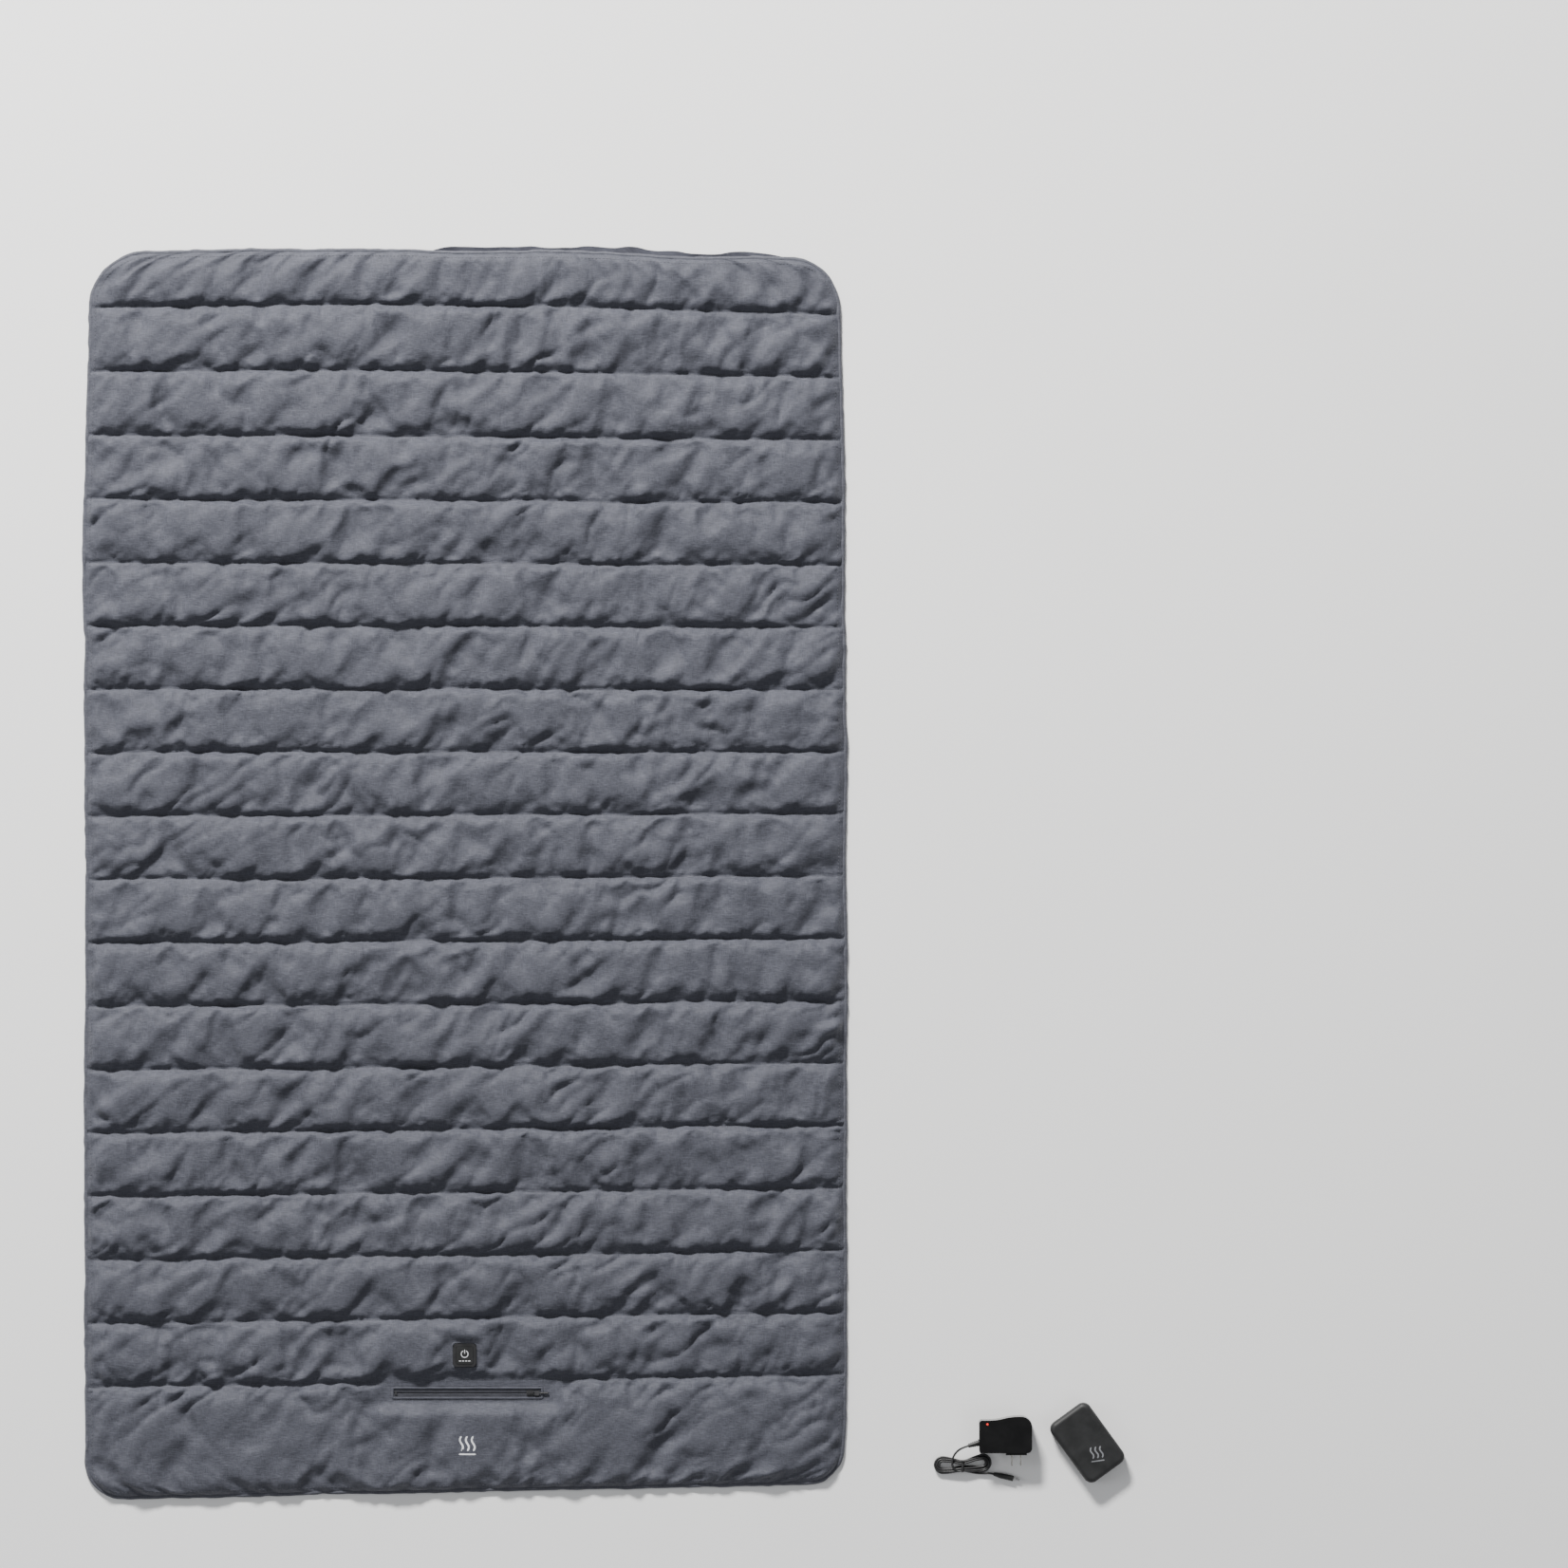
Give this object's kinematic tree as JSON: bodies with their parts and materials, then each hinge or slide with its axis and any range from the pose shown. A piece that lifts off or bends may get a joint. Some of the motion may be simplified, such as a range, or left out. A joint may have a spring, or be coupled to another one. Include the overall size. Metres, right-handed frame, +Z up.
{
  "type": "battery heated quilted throw",
  "caption": "Quilted throw with heating pads between its layers, a push-button controller, a zipped battery pocket, a loose battery pack and a wall charger with a tied cord.",
  "frame": {"origin": "centre of the throw's underside, on the surface it lies on", "axes": "+Z up, away from the surface; +Y towards the head end; +X to the right seen from above, where the battery pack and charger lie"},
  "size_m": [1.5003, 1.8, 0.0301],
  "materials": {
    "face_cloth": "heather grey nylon, fine cross-hatch weave, soft sheen",
    "filling": "white polyester wadding",
    "lining_cloth": "dark charcoal satin",
    "binding_cloth": "dark woven binding",
    "thread": "dark sewing thread",
    "heater_sheet": "non-woven carrier",
    "heater_wire": "insulated carbon-fibre heating wire",
    "black_plastic": "fine matt",
    "cable_jacket": "flexible PVC",
    "circuit_board": "solder mask",
    "soft_black": "soft-touch",
    "white_mark": "translucent white",
    "steel": "nickel plated",
    "zip_tape": "woven tape",
    "zip_coil": "nylon coil",
    "black_metal": "dark enamel",
    "black_rubber": "moulded PVC",
    "cell_wrap": "laminated foil",
    "gloss_black": "fine gloss",
    "blade_brass": "nickel-plated brass",
    "red_lens": "clear red",
    "component": "wound and moulded components"
  },
  "bodies": {
    "blanket": {"battery_lead": "cable_jacket", "batting": "filling", "controller_back_plate": "black_plastic", "controller_board": "circuit_board", "controller_housing": "black_plastic", "controller_screws": "steel", "edge_binding": "binding_cloth", "face_fabric": "face_cloth", "foot_batting": "filling", "harness_cables": "cable_jacket", "harness_connector": "black_plastic", "heating_pad_lower": "heater_sheet", "heating_pad_middle": "heater_sheet", "heating_pad_upper": "heater_sheet", "heating_wire_lower": "heater_wire", "heating_wire_middle": "heater_wire", "heating_wire_upper": "heater_wire", "lead_plug_barrel": "steel", "lead_plug_grip": "black_rubber", "lining": "lining_cloth", "pad_thermostats": "black_plastic", "pocket_bag": "lining_cloth", "pocket_welt": "face_cloth", "quilt_stitching": "thread", "tact_switch": "black_plastic", "zip_coil_lower": "zip_coil", "zip_coil_upper": "zip_coil", "zip_stops": "black_metal", "zip_tape_lower": "zip_tape", "zip_tape_upper": "zip_tape"},
    "controller_button": {"controller_cap": "soft_black", "controller_lights": "white_mark"},
    "zip_slider": {"zip_slider": "black_metal"},
    "zip_pull": {"zip_pull_tab": "black_metal", "zip_pull_cord": "black_rubber"},
    "battery_pack": {"battery_board": "circuit_board", "battery_case_bottom": "soft_black", "battery_case_top": "soft_black", "battery_cells": "cell_wrap", "battery_jack": "black_plastic", "jack_ring": "white_mark"},
    "charger": {"charger_base": "gloss_black", "charger_blades": "blade_brass", "charger_board": "circuit_board", "charger_capacitors": "component", "charger_cord_hank": "cable_jacket", "charger_cord_lead": "cable_jacket", "charger_cord_tail": "cable_jacket", "charger_cover": "gloss_black", "charger_led": "red_lens", "charger_plug_plate": "gloss_black", "charger_strain_relief": "black_rubber", "charger_transformer": "component", "cord_tie": "black_rubber", "dc_plug_barrel": "steel", "dc_plug_grip": "black_rubber", "dc_plug_tip": "black_rubber"}
  },
  "joints": [
    {"name": "button_press", "type": "slide", "parent": "blanket", "child": "controller_button", "axis": [0, 0, 1], "range_m": [-0.0005, 0], "stiffness_N_per_m": 800},
    {"name": "zip_run", "type": "slide", "parent": "blanket", "child": "zip_slider", "axis": [1, 0, 0], "range_m": [-0.185, 0]},
    {"name": "zip_pull_swing", "type": "hinge", "parent": "zip_slider", "child": "zip_pull", "pos_m": [0.094, -0.744, 0.00735], "axis": [0, -1, 0], "range_deg": [0, 170]},
    {"name": "pack_lift", "type": "slide", "parent": "blanket", "child": "battery_pack", "axis": [0, 0, 1], "range_m": [0, 0.1]},
    {"name": "charger_lift", "type": "slide", "parent": "blanket", "child": "charger", "axis": [0, 0, 1], "range_m": [0, 0.1]}
  ]
}
